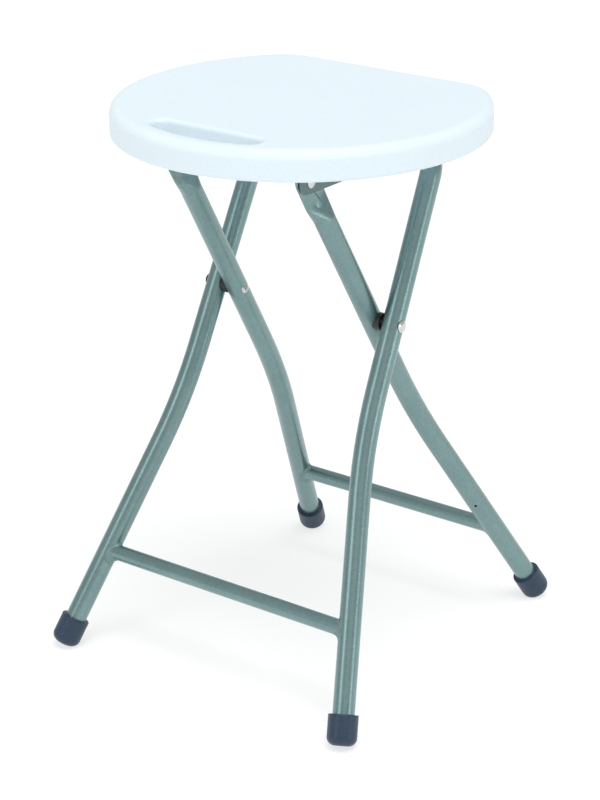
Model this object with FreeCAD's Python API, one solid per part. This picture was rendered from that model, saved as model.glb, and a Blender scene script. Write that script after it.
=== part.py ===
import FreeCAD, Part

import math
import os

V = FreeCAD.Vector

# ---------------------------------------------------------------- dimensions
# Folding stool: round blow-moulded seat on two crossed tube frames.
# X is the line of the cross pivots, -Y the front (handle slot), +Y the back
# (flat edge of the seat), Z up, floor at z = 0. Lengths in millimetres.
# Working coordinates have the seat circle's centre on x = y = 0; the whole
# stool is moved by Y_SHIFT at the end so that its footprint is centred.

Y_SHIFT = -10.03

HEIGHT = 450.0            # floor to seat top

# seat
SEAT_R = 146.2            # outline circle
SEAT_CHORD = 113.3        # flat back edge, distance from the circle's centre
SEAT_CORNER = 43.9        # corner radius between circle and flat edge
SEAT_RIM = 23.5           # height of the side wall
SEAT_TOP_R = 7.4          # rounding of the top edge
SEAT_LOW_R = 2.2          # rounding of the lower edge
SEAT_LIP = 9.0            # width of the hollow lip round the underside
SEAT_PANEL_UP = 5.0       # underside panel lies this far above the lip
SEAT_WALL = 3.0           # moulded wall

# tapered recesses in the underside panel: centres (mirrored in x), sizes
KISS_AT = [(0, -74), (0, -32), (0, 10), (40, -74), (40, -32), (40, 10),
           (108, -44), (112, 0), (100, 44), (0, 88)]
KISS_R = 10.5
KISS_TOP_R = 6.5
KISS_H = 12.5

# handle slot
SLOT_HALF = 50.0
SLOT_IN_Y = -105.0
SLOT_OUT_R = 130.6
SLOT_END_R = 7.6
SLOT_TOP_R = 3.4

# tubes
TUBE_R = 8.5
TUBE_WALL = 1.2
STR_R = 6.3
STR_WALL = 1.0

# cross pivot
PIV_Y = -1.1
PIV_Z = 285.6

# outer frame (feet in front, one bar across under the seat)
O_TILT = 26.763
O_X = 86.8                # half width at the pivot
O_UP = -0.031             # dx/dz above the lower bend
O_LOW = -0.262            # dx/dz below it
O_BEND_Z = 201.5
O_BEND_R = 414.0
O_BAR_Z = 420.75
O_BAR_R = 36.0            # bend radius of the two upper corners
O_JOINT = 4.0             # straight tube between a corner bend and its leg
O_STR_Z = 77.5

# inner frame (feet at the back, flattened tops hinged to the seat)
I_TILT = 30.357
I_X = 66.5
I_UP = -0.026
I_LOW = -0.265
I_BEND_Z = 195.2
I_BEND_R = 431.0
I_STR_Z = 72.3

# flattened leg tops and seat hinge
HINGE_Z = 414.5
FLAT_T = 3.2              # thickness of the flattened end
FLAT_B = 12.0             # half width of the flattened end
FLAT_FROM = 40.0          # flattening starts this far below the hinge
FLAT_TO = 17.0            # and ends this far below it

# cross pivot rivets and spacers
RIV_R = 3.0
RIV_RUN = 0.05
RIV_HEAD_R = 4.9
RIV_HEAD_H = 1.8
RIV_END_R = 4.2           # rolled inner end of the cross rivets
RIV_END_H = 1.6
SPOT_DEPTH = 0.4          # flat spot on the tube under the outer head
SPACER_R = 7.0

# seat hinge
WASH_R = 7.0
WASH_T = 1.0
BR_T = 2.0
BR_FRONT = -88.6
BR_BACK = -31.6
BR_LOW = 405.5
BR_FLANGE = 17.0
SCREW_R = 1.9
SCREW_HEAD_R = 4.0
SCREW_LEN = 9.0

# saddle clips for the bar
CLIP_X = 32.0
CLIP_W = 16.0
CLIP_GAP = 0.3

# foot caps
CAP_R = 11.6
CAP_LEN = 23.7
CAP_BASE = 4.0            # rubber under the end of the tube
CAP_EDGE = 6.5
CAP_TOP_EDGE = 0.8
CAP_SINK = 0.9            # how far the worn flat is cut in at the floor

DRAIN_R = 1.0


# ---------------------------------------------------------------- helpers
def bent_wire(points, radii):
    """Wire through points, with an arc of the given radius at each inner one."""
    edges = []
    start = points[0]
    for i in range(1, len(points) - 1):
        b = points[i]
        u = (points[i - 1] - b).normalize()
        w = (points[i + 1] - b).normalize()
        half = u.getAngle(w) / 2.0
        t = radii[i - 1] / math.tan(half)
        bis = (u + w).normalize()
        p1 = b + u * t
        p2 = b + w * t
        pm = b + bis * (radii[i - 1] / math.sin(half) - radii[i - 1])
        edges.append(Part.LineSegment(start, p1).toShape())
        edges.append(Part.Arc(p1, pm, p2).toShape())
        start = p2
    edges.append(Part.LineSegment(start, points[-1]).toShape())
    return Part.Wire(edges)


def pipe(wire, r):
    first = wire.Edges[0]
    p = first.valueAt(first.FirstParameter)
    d = first.tangentAt(first.FirstParameter)
    circle = Part.Wire([Part.makeCircle(r, p, d)])
    return wire.makePipeShell([circle], True, False)


def rod(a, b, r):
    d = b - a
    return Part.makeCylinder(r, d.Length, a, d)


def along_x(x0, x1, y, z, r):
    return Part.makeCylinder(r, x1 - x0, V(x0, y, z), V(1, 0, 0))


def dome_x(x, y, z, r, h, side):
    """Domed rivet head on the plane at x, bulging towards side (+1 or -1)."""
    big = (r * r + (h - 0.5) ** 2) / (2.0 * (h - 0.5))
    rim = Part.makeCylinder(r, 0.5, V(x, y, z), V(side, 0, 0))
    ball = Part.makeSphere(big, V(x + side * (h - big), y, z))
    keep = Part.makeCylinder(r, h + 1.0, V(x + side * 0.5, y, z), V(side, 0, 0))
    return rim.fuse(ball.common(keep)).removeSplitter()


def mirror(shape):
    return shape.mirror(V(0, 0, 0), V(1, 0, 0))


def outline(off):
    """Seat outline, moved inwards by off."""
    r = SEAT_R - off
    c = SEAT_CHORD - off
    f = SEAT_CORNER - off
    cy = SEAT_CHORD - SEAT_CORNER
    cx = math.sqrt((SEAT_R - SEAT_CORNER) ** 2 - cy ** 2)
    ang = math.atan2(cy, cx)
    tr = V(r * math.cos(ang), r * math.sin(ang), 0)
    tl = V(-tr.x, tr.y, 0)
    mid = (ang + math.pi / 2) / 2.0
    mr = V(cx + f * math.cos(mid), cy + f * math.sin(mid), 0)
    ml = V(-mr.x, mr.y, 0)
    edges = [
        Part.Arc(tl, V(0, -r, 0), tr).toShape(),
        Part.Arc(tr, mr, V(cx, c, 0)).toShape(),
        Part.LineSegment(V(cx, c, 0), V(-cx, c, 0)).toShape(),
        Part.Arc(V(-cx, c, 0), ml, tl).toShape(),
    ]
    return Part.Wire(edges)


def slab(off, z0, z1):
    w = outline(off)
    w.translate(V(0, 0, z0))
    return Part.Face(w).extrude(V(0, 0, z1 - z0))


def slot_block(grow, z0, z1):
    """Solid that fills the handle slot, widened all round by grow."""
    disc = Part.makeCylinder(SLOT_OUT_R + grow, z1 - z0, V(0, 0, z0))
    box = Part.makeBox(2 * (SLOT_HALF + grow), 60, z1 - z0,
                       V(-SLOT_HALF - grow, SLOT_IN_Y + grow - 60, z0))
    s = disc.common(box)
    up = [e for e in s.Edges
          if abs(e.Vertexes[0].Point.x - e.Vertexes[-1].Point.x) < 1e-6
          and abs(e.Vertexes[0].Point.y - e.Vertexes[-1].Point.y) < 1e-6
          and e.Length > 1.0 and abs(e.Vertexes[0].Point.z - e.Vertexes[-1].Point.z) > 1.0]
    return s.makeFillet(SLOT_END_R + grow, up)


def oval_wire(center, a, b, e1, e2, power, n=32):
    """Closed spline section: half widths a along e1 and b along e2."""
    pts = []
    for i in range(n):
        t = 2 * math.pi * i / n
        c, s = math.cos(t), math.sin(t)
        x = a * math.copysign(abs(c) ** (2.0 / power), c)
        y = b * math.copysign(abs(s) ** (2.0 / power), s)
        pts.append(center + e1 * x + e2 * y)
    curve = Part.BSplineCurve()
    curve.interpolate(pts, PeriodicFlag=True)
    return Part.Wire([curve.toShape()])


# ---------------------------------------------------------------- frame lines
def frame_point(which, z):
    """Centre line of the right-hand leg at height z, as straight segments."""
    if which == "outer":
        tilt, x0, up, low, zb, sgn = O_TILT, O_X, O_UP, O_LOW, O_BEND_Z, 1.0
    else:
        tilt, x0, up, low, zb, sgn = I_TILT, I_X, I_UP, I_LOW, I_BEND_Z, -1.0
    x = x0 + up * (max(z, zb) - PIV_Z)
    if z < zb:
        x += low * (z - zb)
    y = PIV_Y + sgn * (z - PIV_Z) * math.tan(math.radians(tilt))
    return V(x, y, z)


def low_dir(which):
    return (frame_point(which, 0.0) - frame_point(which, 100.0)).normalize()


def cap_layout(which):
    """Base centre of the foot cap, direction down the leg, end of the tube."""
    d = low_dir(which)
    sin_v = math.sqrt(1.0 - d.z * d.z)
    # lowest point of the rounded base lies CAP_SINK under the floor
    drop = CAP_EDGE * 1.0 + (CAP_R - CAP_EDGE) * sin_v - CAP_EDGE * abs(d.z)
    zb = drop - CAP_SINK
    p = frame_point(which, zb)
    return p, d, p - d * CAP_BASE


def make_cap(which):
    p, d, end = cap_layout(which)
    body = Part.makeCylinder(CAP_R, CAP_LEN, p, d * -1.0)
    low = [e for e in body.Edges if isinstance(e.Curve, Part.Circle)
           and (e.Curve.Center - p).Length < 1e-3]
    body = body.makeFillet(CAP_EDGE, low)
    top = p - d * CAP_LEN
    high = [e for e in body.Edges if isinstance(e.Curve, Part.Circle)
            and (e.Curve.Center - top).Length < 1e-3]
    body = body.makeFillet(CAP_TOP_EDGE, high)
    if which == "inner":
        # the seam of the rounded edge is turned away from the worn flat
        body.rotate(p, d, 180)
    bore = Part.makeCylinder(TUBE_R, 60, end, d * -1.0)
    body = body.cut(bore)
    floor = Part.makeBox(200, 200, 50, V(p.x - 100, p.y - 100, -50))
    return body.cut(floor)


# ---------------------------------------------------------------- outer frame
def outer_wires():
    """Lines of the right leg and of the top bar, which meet below the corner bend."""
    _, _, end = cap_layout("outer")
    low = frame_point("outer", O_BEND_Z)
    top = frame_point("outer", O_BAR_Z)
    u = (low - top).normalize()
    half = u.getAngle(V(-1, 0, 0)) / 2.0
    joint = top + u * (O_BAR_R / math.tan(half) + O_JOINT)
    leg = bent_wire([end, low, joint], [O_BEND_R])
    right = [joint, top]
    left = [V(-p.x, p.y, p.z) for p in reversed(right)]
    return leg, bent_wire(right + left, [O_BAR_R, O_BAR_R])


def stretcher(which, zc):
    a = frame_point(which, zc)
    bar = rod(V(-a.x, a.y, a.z), a, STR_R)
    bar = bar.cut(rod(V(-a.x - 5, a.y, a.z), V(a.x + 5, a.y, a.z), STR_R - STR_WALL))
    d = low_dir(which)
    for s in (1, -1):
        c = V(s * a.x, a.y, a.z)
        dd = V(s * d.x, d.y, d.z)
        bar = bar.cut(rod(c - dd * 60, c + dd * 60, TUBE_R))
    return max(bar.Solids, key=lambda q: q.Volume)


leg_wire, bar_wire = outer_wires()
outer_leg_right = pipe(leg_wire, TUBE_R).cut(pipe(leg_wire, TUBE_R - TUBE_WALL))
outer_leg_right = outer_leg_right.cut(
    along_x(O_X - 12, O_X + 12, PIV_Y, PIV_Z, RIV_R + RIV_RUN))
outer_leg_right = outer_leg_right.cut(
    along_x(O_X + TUBE_R - SPOT_DEPTH, O_X + TUBE_R + 5, PIV_Y, PIV_Z, RIV_HEAD_R + 0.5))
outer_leg_left = mirror(outer_leg_right)
outer_top_bar = pipe(bar_wire, TUBE_R).cut(pipe(bar_wire, TUBE_R - TUBE_WALL))
outer_stretcher = stretcher("outer", O_STR_Z)

# ---------------------------------------------------------------- inner legs
hinge = frame_point("inner", HINGE_Z)
up_dir = (frame_point("inner", 400) - frame_point("inner", 300)).normalize()
flat_dir = V(0, up_dir.y, up_dir.z).normalize()
e1 = V(1, 0, 0)
e2 = flat_dir.cross(e1).normalize()


def at_below(dist):
    """Point on the upper leg line, dist below the hinge along the leg."""
    return frame_point("inner", HINGE_Z - dist * math.cos(math.radians(I_TILT)))


def round_wire(center, r, normal):
    """Circle whose seam lies on the +X side, so that it lofts without a twist."""
    xa = (e1 - normal * e1.dot(normal)).normalize()
    turn = FreeCAD.Rotation(xa, normal.cross(xa), normal, "ZXY")
    edge = Part.Circle(V(0, 0, 0), V(0, 0, 1), r).toShape()
    edge.Placement = FreeCAD.Placement(center, turn)
    return Part.Wire([edge])


def inner_leg():
    _, _, end = cap_layout("inner")
    low = frame_point("inner", I_BEND_Z)
    start = at_below(FLAT_FROM)
    line = bent_wire([start, low, end], [I_BEND_R])

    def swept(r, profile):
        return line.makePipeShell([profile], True, False)

    def neck(cut, first):
        out = [first]
        for q in (0.2, 0.4, 0.6, 0.8, 1.0):
            ease = q * q * (3 - 2 * q)
            dist = FLAT_FROM + (FLAT_TO - FLAT_FROM) * q
            a = TUBE_R + (FLAT_T / 2 - TUBE_R) * ease - cut
            b = TUBE_R + (FLAT_B - TUBE_R) * ease - cut
            c = at_below(dist)
            c = V(c.x + (hinge.x - c.x) * ease, c.y, c.z)
            out.append(oval_wire(c, a, b, e1, e2, 2.0 + 1.6 * ease))
        return Part.makeLoft(out, True, False), out[-1]

    ring = round_wire(start, TUBE_R, up_dir)
    ring_in = round_wire(start, TUBE_R - TUBE_WALL, up_dir)
    tube = swept(TUBE_R, ring)
    bore = swept(TUBE_R - TUBE_WALL, ring_in)
    neck_out, last = neck(0.0, ring)
    neck_in, _ = neck(TUBE_WALL, ring_in)
    # flat plate round the hinge hole: the last section carried on, with a round end
    c = V(hinge.x, hinge.y, hinge.z)
    base = at_below(FLAT_TO)
    b0 = V(hinge.x, base.y, base.z)
    strip = Part.Face(last).extrude(flat_dir * 60.0)
    q = [b0 - e2 * 30 - flat_dir * 10, b0 + e2 * 30 - flat_dir * 10, c + e2 * 30, c - e2 * 30]
    q = [w - e1 * 10 for w in q]
    keep = Part.Face(Part.makePolygon(q + [q[0]])).extrude(e1 * 20)
    eye = Part.makeCylinder(FLAT_B - 0.02, 20, c - e1 * 10, e1)
    plate = strip.common(keep).fuse(strip.common(eye)).removeSplitter()
    leg = tube.fuse(neck_out).fuse(plate)
    leg = leg.cut(bore).cut(neck_in)
    leg = leg.cut(along_x(hinge.x - 5, hinge.x + 5, hinge.y, hinge.z, RIV_R + RIV_RUN))
    leg = leg.cut(along_x(I_X - 12, I_X + 12, PIV_Y, PIV_Z, RIV_R))
    return max(leg.Solids, key=lambda w: w.Volume)


inner_leg_right = inner_leg()
inner_leg_left = mirror(inner_leg_right)
inner_stretcher = stretcher("inner", I_STR_Z)

# small drain hole in the front face of each back leg, above the stretcher
drain = frame_point("inner", 96.5)
drain_cut = Part.makeCylinder(DRAIN_R, 12, drain, V(0.30, -0.92, 0.25))
inner_leg_right = inner_leg_right.cut(drain_cut)
inner_leg_left = inner_leg_left.cut(mirror(drain_cut))

# ---------------------------------------------------------------- cross pivots
inner_face = I_X - TUBE_R
outer_face = O_X + TUBE_R - SPOT_DEPTH + 0.06
leg_solid = rod(frame_point("inner", 230), frame_point("inner", 340), TUBE_R)
shank = along_x(inner_face, outer_face, PIV_Y, PIV_Z, RIV_R)
head_out = dome_x(outer_face, PIV_Y, PIV_Z, RIV_HEAD_R, RIV_HEAD_H, 1)
head_in = dome_x(inner_face + 0.6, PIV_Y, PIV_Z, RIV_END_R, RIV_END_H + 0.6, -1).cut(leg_solid)
rivet_r = shank.fuse(head_out).fuse(head_in).removeSplitter()
# rolled inner end of the rivet: an open, tapered hole in its middle
head_tip = inner_face - RIV_END_H
rivet_r = rivet_r.cut(Part.makeCone(2.3, 1.3, 2.4, V(head_tip - 0.1, PIV_Y, PIV_Z), V(1, 0, 0)))
pivot_rivets = Part.makeCompound([rivet_r, mirror(rivet_r)])

spacer_r = along_x(I_X, O_X - TUBE_R - 0.3, PIV_Y, PIV_Z, SPACER_R)
spacer_r = spacer_r.cut(leg_solid).cut(along_x(I_X, O_X, PIV_Y, PIV_Z, RIV_R))
pivot_spacer_right = max(spacer_r.Solids, key=lambda q: q.Volume)
pivot_spacer_left = mirror(pivot_spacer_right)

# ---------------------------------------------------------------- seat brackets
panel_z = HEIGHT - SEAT_RIM + SEAT_PANEL_UP
leg_out_x = hinge.x + FLAT_T / 2
wash_x0 = leg_out_x + 0.1
br_x0 = wash_x0 + WASH_T
br_x1 = br_x0 + BR_T

plate = Part.makeBox(BR_T, BR_BACK - BR_FRONT, panel_z - BR_LOW, V(br_x0, BR_FRONT, BR_LOW))
front_low = [e for e in plate.Edges if abs(e.CenterOfMass.z - BR_LOW) < 1e-6
             and (abs(e.CenterOfMass.y - BR_FRONT) < 1e-6 or abs(e.CenterOfMass.y - BR_BACK) < 1e-6)]
plate = plate.makeFillet(7.5, front_low)
flange = Part.makeBox(BR_T + BR_FLANGE, BR_BACK - BR_FRONT, BR_T, V(br_x0, BR_FRONT, panel_z - BR_T))
corner = [e for e in flange.Edges if abs(e.CenterOfMass.x - br_x1 - BR_FLANGE) < 1e-6
          and abs(e.Vertexes[0].Point.z - e.Vertexes[-1].Point.z) > 1.0]
flange = flange.makeFillet(6.0, corner)
bracket = plate.fuse(flange).removeSplitter()
bend = [e for e in bracket.Edges if abs(e.CenterOfMass.x - br_x1) < 1e-6
        and abs(e.CenterOfMass.z - (panel_z - BR_T)) < 1e-6]
bracket = bracket.makeFillet(1.6, bend)
bend_out = [e for e in bracket.Edges if abs(e.CenterOfMass.x - br_x0) < 1e-6
            and abs(e.CenterOfMass.z - panel_z) < 1e-6]
bracket = bracket.makeFillet(1.8, bend_out)
screw_x = br_x1 + BR_FLANGE - 7.0
bracket_screw_pos = [V(screw_x, BR_FRONT + 10.0, 0), V(screw_x, BR_BACK - 10.0, 0)]


def screw(x, y, z_face):
    """Pan-head screw driven upwards; z_face is the face under its head."""
    body = Part.makeCylinder(SCREW_R, SCREW_LEN, V(x, y, z_face))
    head = Part.makeCylinder(SCREW_HEAD_R, 2.2, V(x, y, z_face - 2.2))
    low = [e for e in head.Edges if abs(e.CenterOfMass.z - z_face + 2.2) < 1e-6
           and isinstance(e.Curve, Part.Circle)]
    head = head.makeFillet(1.3, low)
    cross = Part.makeBox(4.4, 0.9, 1.2, V(x - 2.2, y - 0.45, z_face - 2.2))
    cross = cross.fuse(Part.makeBox(0.9, 4.4, 1.2, V(x - 0.45, y - 2.2, z_face - 2.2)))
    return head.cut(cross).fuse(body).removeSplitter()


for q in bracket_screw_pos:
    bracket = bracket.cut(Part.makeCylinder(SCREW_R, 8, V(q.x, q.y, panel_z - 5)))
bracket = bracket.cut(along_x(br_x0 - 1, br_x1 + 1, hinge.y, hinge.z, RIV_R))
seat_bracket_right = bracket
seat_bracket_left = mirror(bracket)

washer = along_x(wash_x0, br_x0, hinge.y, hinge.z, WASH_R).cut(
    along_x(wash_x0 - 1, br_x0 + 1, hinge.y, hinge.z, RIV_R))
hinge_washers = Part.makeCompound([washer, mirror(washer)])

in_x = hinge.x - FLAT_T / 2 - 0.1
rivet = along_x(in_x, br_x1, hinge.y, hinge.z, RIV_R)
rivet = rivet.fuse(dome_x(br_x1, hinge.y, hinge.z, RIV_HEAD_R, RIV_HEAD_H, 1))
rivet = rivet.fuse(dome_x(in_x, hinge.y, hinge.z, RIV_HEAD_R, RIV_HEAD_H, -1)).removeSplitter()
seat_hinge_rivets = Part.makeCompound([rivet, mirror(rivet)])

screws = [screw(q.x, q.y, panel_z - BR_T) for q in bracket_screw_pos]
bracket_screws = Part.makeCompound(screws + [mirror(q) for q in screws])

# ---------------------------------------------------------------- bar clips
bar = frame_point("outer", O_BAR_Z)
clip_r = TUBE_R + CLIP_GAP
by, bz = bar.y, bar.z
tab = 3.0
prof = [
    (by - 24.0, panel_z), (by - 24.0, panel_z - tab), (by - 13.0, panel_z - tab),
    (by - 11.0, bz + clip_r * math.cos(math.radians(58)) + 0.2),
    (by - clip_r * math.sin(math.radians(58)), bz + clip_r * math.cos(math.radians(58))),
    (by, bz), (by + clip_r, bz), (by + clip_r, bz - 6.5), (by + clip_r + 3.4, bz - 6.5),
    (by + clip_r + 4.4, panel_z - tab), (by + 25.0, panel_z - tab), (by + 25.0, panel_z),
]
pts = [V(CLIP_X - CLIP_W / 2, y, z) for y, z in prof]
clip = Part.Face(Part.makePolygon(pts + [pts[0]])).extrude(V(CLIP_W, 0, 0))
clip = clip.cut(along_x(CLIP_X - CLIP_W, CLIP_X + CLIP_W, by, bz, clip_r))
clip = max(clip.Solids, key=lambda q: q.Volume)
tips = [e for e in clip.Edges
        if abs(e.Vertexes[0].Point.z - e.Vertexes[-1].Point.z) > tab - 0.2
        and abs(e.Vertexes[0].Point.x - e.Vertexes[-1].Point.x) < 1e-6
        and abs(e.Vertexes[0].Point.y - e.Vertexes[-1].Point.y) < 1e-6
        and (abs(e.CenterOfMass.y - by + 24.0) < 1e-3 or abs(e.CenterOfMass.y - by - 25.0) < 1e-3)]
clip = clip.makeFillet(3.0, tips)
clip_screw_pos = [V(CLIP_X, by - 18.6, 0), V(CLIP_X, by + 19.4, 0)]
for q in clip_screw_pos:
    clip = clip.cut(Part.makeCylinder(SCREW_R, 8, V(q.x, q.y, panel_z - 6)))
bar_clip_right = clip
bar_clip_left = mirror(clip)
screws = [screw(q.x, q.y, panel_z - tab) for q in clip_screw_pos]
clip_screws = Part.makeCompound(screws + [mirror(q) for q in screws])

# ---------------------------------------------------------------- seat
rim_low = HEIGHT - SEAT_RIM
body = slab(0.0, rim_low, HEIGHT)
body = body.cut(slot_block(0.0, rim_low - 1, HEIGHT + 1))


def flat_edges(shape, z, inside_slot):
    out = []
    for e in shape.Edges:
        b = e.BoundBox
        if abs(b.ZMin - z) > 1e-4 or abs(b.ZMax - z) > 1e-4:
            continue
        c = e.CenterOfMass
        slot = abs(b.XMax) <= SLOT_HALF + 0.01 and abs(b.XMin) <= SLOT_HALF + 0.01 \
            and b.YMax < SLOT_IN_Y + 0.01 and b.YMin > -SLOT_OUT_R - 0.01
        if slot == inside_slot:
            out.append(e)
    return out


body = body.makeFillet(SEAT_TOP_R, flat_edges(body, HEIGHT, False))
body = body.makeFillet(SLOT_TOP_R, flat_edges(body, HEIGHT, True))
body = body.makeFillet(SEAT_LOW_R, flat_edges(body, rim_low, False))
recess = slab(SEAT_LIP, rim_low - 1, panel_z)
slot_wall = slot_block(SEAT_WALL, rim_low - 2, HEIGHT + 2)
body = body.cut(recess)

# tapered recesses of the underside panel, which meet the top wall from below
kiss_taper = (KISS_R - KISS_TOP_R) / KISS_H
kiss_pos = []
for x, y in KISS_AT:
    kiss_pos += [V(x, y, 0)] if x == 0 else [V(x, y, 0), V(-x, y, 0)]
for q in kiss_pos:
    cone = Part.makeCone(KISS_R + kiss_taper, KISS_TOP_R, KISS_H + 1.0, V(q.x, q.y, panel_z - 1.0))
    cone = cone.makeChamfer(1.6, [e for e in cone.Edges if isinstance(e.Curve, Part.Circle)
                                  and abs(e.CenterOfMass.z - panel_z - KISS_H) < 1e-4])
    body = body.cut(cone)
body = body.makeChamfer(1.2, [e for e in body.Edges if isinstance(e.Curve, Part.Circle)
                              and abs(e.BoundBox.ZMin - panel_z) < 1e-4
                              and abs(e.BoundBox.ZMax - panel_z) < 1e-4
                              and abs(e.Curve.Radius - KISS_R) < 1e-3])

cavity = slab(SEAT_WALL, rim_low + SEAT_WALL, HEIGHT - SEAT_WALL)
cavity = cavity.makeFillet(SEAT_TOP_R - SEAT_WALL, flat_edges(cavity, HEIGHT - SEAT_WALL, False))
cavity = cavity.cut(slab(SEAT_LIP - SEAT_WALL, rim_low - 1, panel_z + SEAT_WALL))
cavity = cavity.cut(slot_wall)
boss_pos = []
for q in bracket_screw_pos + clip_screw_pos:
    boss_pos += [q, V(-q.x, q.y, 0)]
for q in boss_pos:
    cavity = cavity.cut(Part.makeCylinder(5.0, 30, V(q.x, q.y, panel_z)))
for q in kiss_pos:
    cavity = cavity.cut(Part.makeCone(KISS_R + SEAT_WALL, KISS_R + SEAT_WALL - 18 * kiss_taper, 18,
                                      V(q.x, q.y, panel_z)))
seat = body.cut(cavity)
for q in boss_pos:
    top = panel_z - BR_T + SCREW_LEN
    if abs(abs(q.x) - CLIP_X) < 1e-6:
        top = panel_z - tab + SCREW_LEN
    seat = seat.cut(Part.makeCylinder(SCREW_R, top - panel_z + 1, V(q.x, q.y, panel_z - 1)))
seat = max(seat.Solids, key=lambda q: q.Volume)

# ---------------------------------------------------------------- foot caps
cap_front_right = make_cap("outer")
cap_back_right = make_cap("inner")

nodes = {
    "seat": seat,
    "outer_leg_left": outer_leg_left,
    "outer_leg_right": outer_leg_right,
    "outer_top_bar": outer_top_bar,
    "outer_stretcher": outer_stretcher,
    "inner_leg_left": inner_leg_left,
    "inner_leg_right": inner_leg_right,
    "inner_stretcher": inner_stretcher,
    "pivot_rivets": pivot_rivets,
    "pivot_spacer_left": pivot_spacer_left,
    "pivot_spacer_right": pivot_spacer_right,
    "seat_bracket_left": seat_bracket_left,
    "seat_bracket_right": seat_bracket_right,
    "seat_hinge_rivets": seat_hinge_rivets,
    "hinge_washers": hinge_washers,
    "bracket_screws": bracket_screws,
    "bar_clip_left": bar_clip_left,
    "bar_clip_right": bar_clip_right,
    "clip_screws": clip_screws,
    "foot_cap_front_left": mirror(cap_front_right),
    "foot_cap_front_right": cap_front_right,
    "foot_cap_back_left": mirror(cap_back_right),
    "foot_cap_back_right": cap_back_right,
}

os.makedirs("parts", exist_ok=True)
lo = [1e9, 1e9, 1e9]
hi = [-1e9, -1e9, -1e9]
for name, shape in nodes.items():
    shape = shape.copy()
    shape.translate(V(0, Y_SHIFT, 0))
    b = shape.BoundBox
    lo = [min(lo[0], b.XMin), min(lo[1], b.YMin), min(lo[2], b.ZMin)]
    hi = [max(hi[0], b.XMax), max(hi[1], b.YMax), max(hi[2], b.ZMax)]
    print(name, "solids", len(shape.Solids), "valid", shape.isValid(), "volume", round(shape.Volume, 1))
    shape.exportStep("parts/" + name + ".step")
print("low", [round(q, 3) for q in lo], "high", [round(q, 3) for q in hi])
print("hinge", round(hinge.x, 3), round(hinge.y + Y_SHIFT, 3), round(hinge.z, 3),
      "bar", round(bar.y + Y_SHIFT, 3), round(bar.z, 3))
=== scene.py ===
import math

import bmesh
import bpy
from mathutils import Matrix, Vector


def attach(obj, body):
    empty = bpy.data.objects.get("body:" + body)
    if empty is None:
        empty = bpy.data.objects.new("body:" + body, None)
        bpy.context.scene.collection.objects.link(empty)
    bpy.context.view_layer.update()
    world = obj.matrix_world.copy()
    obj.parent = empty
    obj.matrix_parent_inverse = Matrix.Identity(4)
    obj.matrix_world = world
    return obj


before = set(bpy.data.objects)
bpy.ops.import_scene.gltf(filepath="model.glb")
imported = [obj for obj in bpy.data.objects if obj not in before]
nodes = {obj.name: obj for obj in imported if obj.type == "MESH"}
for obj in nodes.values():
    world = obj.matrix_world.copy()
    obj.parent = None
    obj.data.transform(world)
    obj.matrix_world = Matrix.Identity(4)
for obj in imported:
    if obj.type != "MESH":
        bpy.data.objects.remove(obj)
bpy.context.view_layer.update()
scene = bpy.context.scene

# ------------------------------------------------------------------ camera
# Portrait frame, 600 wide and 800 high; long lens from the front right, above.
Y_SHIFT = -10.03
AZ, EL, ROLL = math.radians(37.898), math.radians(21.937), math.radians(-0.783)
FOCAL_PX = 2423.24

back = Vector((math.sin(AZ) * math.cos(EL), -math.cos(AZ) * math.cos(EL), math.sin(EL)))
fwd = -back
right = fwd.cross(Vector((0, 0, 1))).normalized()
up = right.cross(fwd)
r2 = right * math.cos(ROLL) + up * math.sin(ROLL)
u2 = -right * math.sin(ROLL) + up * math.cos(ROLL)
cam_data = bpy.data.cameras.new("camera")
cam = bpy.data.objects.new("camera", cam_data)
scene.collection.objects.link(cam)
cam_data.sensor_fit = "VERTICAL"
cam_data.sensor_height = 36.0
cam_data.lens = FOCAL_PX * 36.0 / 800.0
cam_data.clip_start = 0.05
cam_data.clip_end = 50.0
rot = Matrix((
    (r2.x, u2.x, back.x, 1098.078 / 1000.0),
    (r2.y, u2.y, back.y, (-1417.355 + Y_SHIFT) / 1000.0),
    (r2.z, u2.z, back.z, 924.698 / 1000.0),
    (0, 0, 0, 1)))
cam.matrix_world = rot
scene.camera = cam

scene.view_settings.view_transform = "Standard"
scene.view_settings.look = "None"
scene.view_settings.exposure = 0.0
scene.view_settings.gamma = 1.0


# ------------------------------------------------------------------ node helpers
def new_material(name):
    m = bpy.data.materials.new(name)
    m.use_nodes = True
    nt = m.node_tree
    nt.nodes.clear()
    out = nt.nodes.new("ShaderNodeOutputMaterial")
    bsdf = nt.nodes.new("ShaderNodeBsdfPrincipled")
    nt.links.new(bsdf.outputs[0], out.inputs["Surface"])
    coord = nt.nodes.new("ShaderNodeTexCoord")
    return m, nt, bsdf, coord.outputs["Object"]


def noise(nt, vec, scale, detail=2.0, rough=0.5, distort=0.0):
    n = nt.nodes.new("ShaderNodeTexNoise")
    n.inputs["Scale"].default_value = scale
    n.inputs["Detail"].default_value = detail
    n.inputs["Roughness"].default_value = rough
    n.inputs["Distortion"].default_value = distort
    nt.links.new(vec, n.inputs["Vector"])
    return n.outputs["Fac"]


def voronoi(nt, vec, scale, feature="F1", smooth=None):
    n = nt.nodes.new("ShaderNodeTexVoronoi")
    n.feature = feature
    n.inputs["Scale"].default_value = scale
    if smooth is not None and "Smoothness" in n.inputs:
        n.inputs["Smoothness"].default_value = smooth
    nt.links.new(vec, n.inputs["Vector"])
    return n.outputs["Distance"]


def ramp(nt, fac, stops):
    n = nt.nodes.new("ShaderNodeValToRGB")
    el = n.color_ramp.elements
    el[0].position, el[0].color = stops[0][0], stops[0][1]
    el[1].position, el[1].color = stops[-1][0], stops[-1][1]
    for pos, col in stops[1:-1]:
        e = el.new(pos)
        e.color = col
    nt.links.new(fac, n.inputs["Fac"])
    return n.outputs["Color"]


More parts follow.
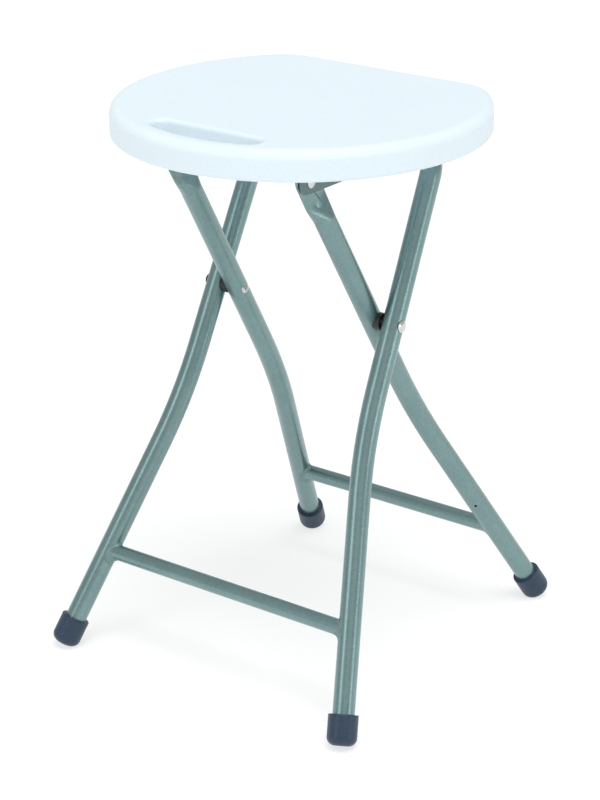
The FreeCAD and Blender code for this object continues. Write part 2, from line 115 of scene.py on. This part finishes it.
def grey(v):
    return (v, v, v, 1.0)


def spread(nt, fac, lo, hi, a=0.25, b=0.75):
    n = nt.nodes.new("ShaderNodeMapRange")
    n.inputs["From Min"].default_value = a
    n.inputs["From Max"].default_value = b
    n.inputs["To Min"].default_value = lo
    n.inputs["To Max"].default_value = hi
    nt.links.new(fac, n.inputs["Value"])
    return n.outputs["Result"]


def math_node(nt, op, a, b):
    n = nt.nodes.new("ShaderNodeMath")
    n.operation = op
    for i, v in enumerate((a, b)):
        if isinstance(v, (int, float)):
            n.inputs[i].default_value = v
        else:
            nt.links.new(v, n.inputs[i])
    return n.outputs[0]


def bump(nt, bsdf, height, strength, distance):
    n = nt.nodes.new("ShaderNodeBump")
    n.inputs["Strength"].default_value = strength
    n.inputs["Distance"].default_value = distance
    nt.links.new(height, n.inputs["Height"])
    nt.links.new(n.outputs["Normal"], bsdf.inputs["Normal"])


# ------------------------------------------------------------------ materials
def hammertone(name, dark, mid, light, rough):
    """Grey-green powder coat with small pits and a metallic glint."""
    m, nt, b, co = new_material(name)
    cells = voronoi(nt, co, 420.0, "SMOOTH_F1", 0.8)
    fine = noise(nt, co, 1100.0, 2.0, 0.5)
    soft = noise(nt, co, 38.0, 3.0, 0.55)
    mixed = math_node(nt, "ADD", math_node(nt, "MULTIPLY", cells, 0.35),
                      math_node(nt, "MULTIPLY", fine, 0.20))
    mixed = math_node(nt, "ADD", mixed, math_node(nt, "MULTIPLY", soft, 0.50))
    nt.links.new(ramp(nt, mixed, [(0.28, dark), (0.50, mid), (0.74, light)]), b.inputs["Base Color"])
    b.inputs["Metallic"].default_value = 0.82
    nt.links.new(spread(nt, fine, rough - 0.03, rough + 0.05), b.inputs["Roughness"])
    height = math_node(nt, "ADD", math_node(nt, "MULTIPLY", cells, 0.85),
                       math_node(nt, "MULTIPLY", fine, 0.15))
    bump(nt, b, height, 0.085, 0.0005)
    b.inputs["Coat Weight"].default_value = 0.22
    b.inputs["Coat Roughness"].default_value = 0.22
    return m


def moulded_white(name):
    m, nt, b, co = new_material(name)
    pebble = voronoi(nt, co, 430.0, "SMOOTH_F1", 0.8)
    fine = noise(nt, co, 900.0, 2.0, 0.5)
    broad = noise(nt, co, 9.0, 3.0, 0.5)
    nt.links.new(ramp(nt, broad, [(0.25, (0.765, 0.875, 0.938, 1)), (0.5, (0.775, 0.883, 0.945, 1)),
                                  (0.75, (0.785, 0.890, 0.952, 1))]), b.inputs["Base Color"])
    nt.links.new(spread(nt, fine, 0.38, 0.50), b.inputs["Roughness"])
    b.inputs["Specular IOR Level"].default_value = 0.35
    b.inputs["Subsurface Weight"].default_value = 0.08
    b.inputs["Subsurface Radius"].default_value = (0.004, 0.004, 0.005)
    b.inputs["Subsurface Scale"].default_value = 1.0
    height = math_node(nt, "ADD", math_node(nt, "MULTIPLY", pebble, 0.8),
                       math_node(nt, "MULTIPLY", fine, 0.2))
    bump(nt, b, height, 0.50, 0.0006)
    return m


def dull(name, dark, light, rough, scale=600.0, strength=0.2, dist=0.0003):
    m, nt, b, co = new_material(name)
    n1 = noise(nt, co, scale, 3.0, 0.6)
    n2 = noise(nt, co, 60.0, 3.0, 0.6)
    mix = math_node(nt, "ADD", math_node(nt, "MULTIPLY", n1, 0.5), math_node(nt, "MULTIPLY", n2, 0.5))
    nt.links.new(ramp(nt, mix, [(0.35, dark), (0.65, light)]), b.inputs["Base Color"])
    nt.links.new(spread(nt, n1, rough - 0.06, rough + 0.08), b.inputs["Roughness"])
    bump(nt, b, n1, strength, dist)
    return m


def bright_metal(name, lo, hi, rough):
    m, nt, b, co = new_material(name)
    n1 = noise(nt, co, 220.0, 2.0, 0.5)
    nt.links.new(ramp(nt, n1, [(0.3, grey(lo)), (0.7, grey(hi))]), b.inputs["Base Color"])
    b.inputs["Metallic"].default_value = 1.0
    nt.links.new(spread(nt, n1, rough - 0.02, rough + 0.03), b.inputs["Roughness"])
    bump(nt, b, n1, 0.02, 0.0001)
    return m


paint = hammertone("hammertone_paint", (0.172, 0.272, 0.275, 1), (0.196, 0.302, 0.304, 1), (0.224, 0.334, 0.333, 1), 0.30)
weld_paint = hammertone("weld_paint", (0.150, 0.238, 0.242, 1), (0.176, 0.274, 0.277, 1), (0.206, 0.310, 0.310, 1), 0.50)
weld_bsdf = weld_paint.node_tree.nodes["Principled BSDF"]
weld_bsdf.inputs["Metallic"].default_value = 0.45
weld_bsdf.inputs["Coat Weight"].default_value = 0.05
paint_dark = hammertone("bracket_paint", (0.085, 0.138, 0.142, 1), (0.115, 0.178, 0.180, 1), (0.145, 0.215, 0.215, 1), 0.34)
white = moulded_white("seat_plastic")
rubber = dull("foot_rubber", (0.015, 0.034, 0.064, 1), (0.022, 0.047, 0.086, 1), 0.40, 300.0, 0.05)
rubber.node_tree.nodes["Principled BSDF"].inputs["Specular IOR Level"].default_value = 0.45
black = dull("black_nylon", (0.008, 0.008, 0.009, 1), (0.018, 0.018, 0.020, 1), 0.42)
washer_mat = dull("natural_nylon", (0.55, 0.56, 0.54, 1), (0.66, 0.67, 0.65, 1), 0.45)
rivet = bright_metal("zinc_rivet", 0.62, 0.68, 0.16)
screw_mat = bright_metal("zinc_screw", 0.54, 0.62, 0.30)

LOOK = {
    "seat": white,
    "outer_leg_left": paint, "outer_leg_right": paint, "outer_top_bar": paint,
    "outer_stretcher": paint,
    "inner_leg_left": paint, "inner_leg_right": paint, "inner_stretcher": paint,
    "pivot_rivets": rivet, "seat_hinge_rivets": rivet,
    "pivot_spacer_left": black, "pivot_spacer_right": black,
    "seat_bracket_left": paint_dark, "seat_bracket_right": paint_dark,
    "hinge_washers": washer_mat,
    "bracket_screws": screw_mat, "clip_screws": screw_mat,
    "bar_clip_left": black, "bar_clip_right": black,
    "foot_cap_front_left": rubber, "foot_cap_front_right": rubber,
    "foot_cap_back_left": rubber, "foot_cap_back_right": rubber,
}
for name, o in nodes.items():
    o.data.materials.clear()
    o.data.materials.append(LOOK.get(name, paint))


# ------------------------------------------------------------------ welds and pressed details
MM = 0.001
PIV = (-1.1 + Y_SHIFT, 285.6)
TUBE_R, STR_R = 8.5, 6.3


def leg_line(which, z):
    """Centre line of the right-hand leg, in millimetres."""
    if which == "outer":
        tilt, x0, up_k, low_k, zb, sgn = 26.763, 86.8, -0.031, -0.262, 201.5, 1.0
    else:
        tilt, x0, up_k, low_k, zb, sgn = 30.357, 66.5, -0.026, -0.265, 195.2, -1.0
    x = x0 + up_k * (max(z, zb) - PIV[1])
    if z < zb:
        x += low_k * (z - zb)
    return Vector((x, PIV[0] + sgn * (z - PIV[1]) * math.tan(math.radians(tilt)), z))


def mesh_object(name, verts, faces, material, smooth=True):
    me = bpy.data.meshes.new(name)
    me.from_pydata([tuple(v) for v in verts], [], faces)
    me.validate()
    bmm = bmesh.new()
    bmm.from_mesh(me)
    bmesh.ops.remove_doubles(bmm, verts=bmm.verts, dist=1e-7)
    bmesh.ops.recalc_face_normals(bmm, faces=bmm.faces)
    bmm.to_mesh(me)
    bmm.free()
    for p in me.polygons:
        p.use_smooth = smooth
    me.materials.append(material)
    o = bpy.data.objects.new(name, me)
    scene.collection.objects.link(o)
    return o


def weld(name, which, z_str, side, body, low, high, flank):
    """Fillet where a cross tube meets a leg: low, high and flank are its widths."""
    c = leg_line(which, z_str)
    d = (leg_line(which, 0.0) - leg_line(which, 100.0)).normalized()
    n_t, n_q = 72, 8
    verts, faces = [], []

    def meet(r, th):
        """Point where a tube of radius r round the cross tube's axis meets the leg."""
        sy, sz = r * math.cos(th), r * math.sin(th)
        k = sy * d.y + sz * d.z
        a = 1.0 - d.x * d.x
        h = d.x * k
        root = h * h - a * (r * r - k * k - TUBE_R * TUBE_R)
        t = (-h + math.sqrt(max(root, 0.0))) / a
        return Vector((-t, sy, sz))

    hz = Vector((0, d.y, d.z)).normalized()
    for i in range(n_t):
        th = 2 * math.pi * i / n_t
        along = math.cos(th) * hz.y + math.sin(th) * hz.z
        ripple = 1.0 + 0.07 * math.sin(9 * th + 0.6) + 0.04 * math.sin(17 * th + 2.1)
        size = flank + ((low if along > 0 else high) - flank) * abs(along) ** 2.2
        size *= ripple
        inner = meet(STR_R, th)
        toe_leg = meet(STR_R + (size if size > flank * 1.2 else min(size, 1.7)), th)
        toe_str = inner + Vector((-size * 1.05, 0, 0))
        radial = Vector((0, math.cos(th), math.sin(th)))
        ctrl = inner + radial * 0.25 + Vector((-0.25, 0, 0))
        ring = []
        for q in range(n_q + 1):
            s = q / n_q
            p = toe_str * (1 - s) ** 2 + ctrl * 2 * s * (1 - s) + toe_leg * s ** 2
            lift = 0.12 * math.sin(math.pi * s)
            ring.append(p + (radial - Vector((1, 0, 0))).normalized() * lift)
        deep = meet(STR_R - 0.6, th) + Vector((0.4, 0, 0))
        ring.append(deep)
        ring.append(toe_str - radial * 0.5)
        for p in ring:
            w = c + p
            verts.append(((side * w.x) * MM, w.y * MM, w.z * MM))
    m = n_q + 3
    for i in range(n_t):
        j = (i + 1) % n_t
        for q in range(m):
            r = (q + 1) % m
            faces.append((i * m + q, j * m + q, j * m + r, i * m + r))
    o = mesh_object(name, verts, faces, weld_paint)
    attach(o, body)
    return o


for s, word in ((1, "right"), (-1, "left")):
    weld("weld_front_" + word, "outer", 77.5, s, "outer_frame", 5.5, 2.4, 1.4)
    weld("weld_back_" + word, "inner", 72.3, s, "inner_frame", 6.5, 2.8, 1.4)


def surface_x(node, y, z, side):
    """x of a node's outer surface at (y, z), seen from outside; millimetres."""
    o = nodes[node]
    hit, loc, _, _ = o.ray_cast(Vector((side * 0.2, y * MM, z * MM)), Vector((-side, 0, 0)))
    return loc.x / MM if hit else None


def pressed_tongue(name, node, side):
    """Raised tongue on the outer face, where the round tube runs out into the flat."""
    top = leg_line("inner", 414.5)
    d = (leg_line("inner", 300.0) - leg_line("inner", 400.0)).normalized()
    down = Vector((0, d.y, d.z)).normalized()
    across = Vector((0, down.z, -down.y))
    nu, nv = 20, 28
    top_l, low_l = [], []
    for j in range(nv + 1):
        v = j / nv
        half = 0.5 + 3.6 * math.sin(v * math.pi / 2) ** 0.8
        for i in range(nu + 1):
            u = -1 + 2 * i / nu
            p = top + down * (11.0 + 15.0 * v) + across * (u * half)
            x = surface_x(node, p.y, p.z, side)
            body = math.cos(u * math.pi / 2) ** 1.3
            rise = 1.5 * body * math.sin(min(v * 1.8, 1.0) * math.pi / 2) * (1 - max(0.0, (v - 0.45) / 0.55) ** 1.6)
            top_l.append(Vector((x + side * (rise - 0.12), p.y, p.z)) * MM)
            low_l.append(Vector((x - side * 0.6, p.y, p.z)) * MM)
    n = (nu + 1) * (nv + 1)
    faces = []

    def idx(i, j):
        return j * (nu + 1) + i

    for j in range(nv):
        for i in range(nu):
            faces.append((idx(i, j), idx(i + 1, j), idx(i + 1, j + 1), idx(i, j + 1)))
            faces.append((n + idx(i, j), n + idx(i, j + 1), n + idx(i + 1, j + 1), n + idx(i + 1, j)))
    rim = [idx(i, 0) for i in range(nu)] + [idx(nu, j) for j in range(nv)] \
        + [idx(i, nv) for i in range(nu, 0, -1)] + [idx(0, j) for j in range(nv, 0, -1)]
    for k in range(len(rim)):
        a, b = rim[k], rim[(k + 1) % len(rim)]
        faces.append((a, n + a, n + b, b))
    o = mesh_object(name, top_l + low_l, faces, paint)
    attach(o, "inner_frame")
    return o


pressed_tongue("pressed_tongue_right", "inner_leg_right", 1)
pressed_tongue("pressed_tongue_left", "inner_leg_left", -1)

# ------------------------------------------------------------------ stage
floor_me =bpy.data.meshes.new("floor")
floor = bpy.data.objects.new("floor", floor_me)
scene.collection.objects.link(floor)
bm = bmesh.new()
bmesh.ops.create_grid(bm, x_segments=2, y_segments=2, size=12.0)
bm.to_mesh(floor_me)
bm.free()
fm, fnt, fb, fco = new_material("floor_paper")
fn = noise(fnt, fco, 3.0, 2.0, 0.5)
fnt.links.new(ramp(fnt, fn, [(0.3, grey(0.32)), (0.7, grey(0.34))]), fb.inputs["Base Color"])
fb.inputs["Roughness"].default_value = 0.9
fb.inputs["Specular IOR Level"].default_value = 0.1
# a softly glowing table keeps the ground near white under the seat
fb.inputs["Emission Color"].default_value = (0.99, 1.0, 1.0, 1.0)
fb.inputs["Emission Strength"].default_value = 0.70
floor_me.materials.append(fm)

world = bpy.data.worlds.new("studio")
scene.world = world
world.use_nodes = True
bg = world.node_tree.nodes["Background"]
bg.inputs["Color"].default_value = (0.985, 0.995, 1.0, 1.0)
bg.inputs["Strength"].default_value = 0.56

# broad key from the camera's side and high up: even on the whole floor
KEY_AZ, KEY_EL = math.radians(60.0), math.radians(74.0)
sun_data = bpy.data.lights.new("key_sun", "SUN")
sun_data.energy = 1.70
sun_data.angle = math.radians(34.0)
sun = bpy.data.objects.new("key_sun", sun_data)
scene.collection.objects.link(sun)
sun_dir = Vector((math.sin(KEY_AZ) * math.cos(KEY_EL), -math.cos(KEY_AZ) * math.cos(KEY_EL),
                  math.sin(KEY_EL)))
sun.rotation_euler = sun_dir.to_track_quat("Z", "Y").to_euler()


def area(name, loc, target, size, power, color=(1, 1, 1), size_y=None):
    d = bpy.data.lights.new(name, "AREA")
    d.energy = power
    d.color = color
    d.shape = "RECTANGLE"
    d.size = size
    d.size_y = size_y or size
    o = bpy.data.objects.new(name, d)
    scene.collection.objects.link(o)
    o.location = loc
    o.rotation_euler = (Vector(target) - Vector(loc)).to_track_quat("-Z", "Y").to_euler()
    return o


area("strip_left", (-0.47, -2.02, 1.12), (0, 0, 0.22), 0.66, 5.0, size_y=1.1)
area("strip_right", (2.22, 0.19, 0.36), (0, 0, 0.22), 0.50, 2.7, size_y=0.7)
area("soft_front", (1.62, -1.52, 0.95), (0, 0, 0.22), 1.5, 1.5, size_y=1.3)
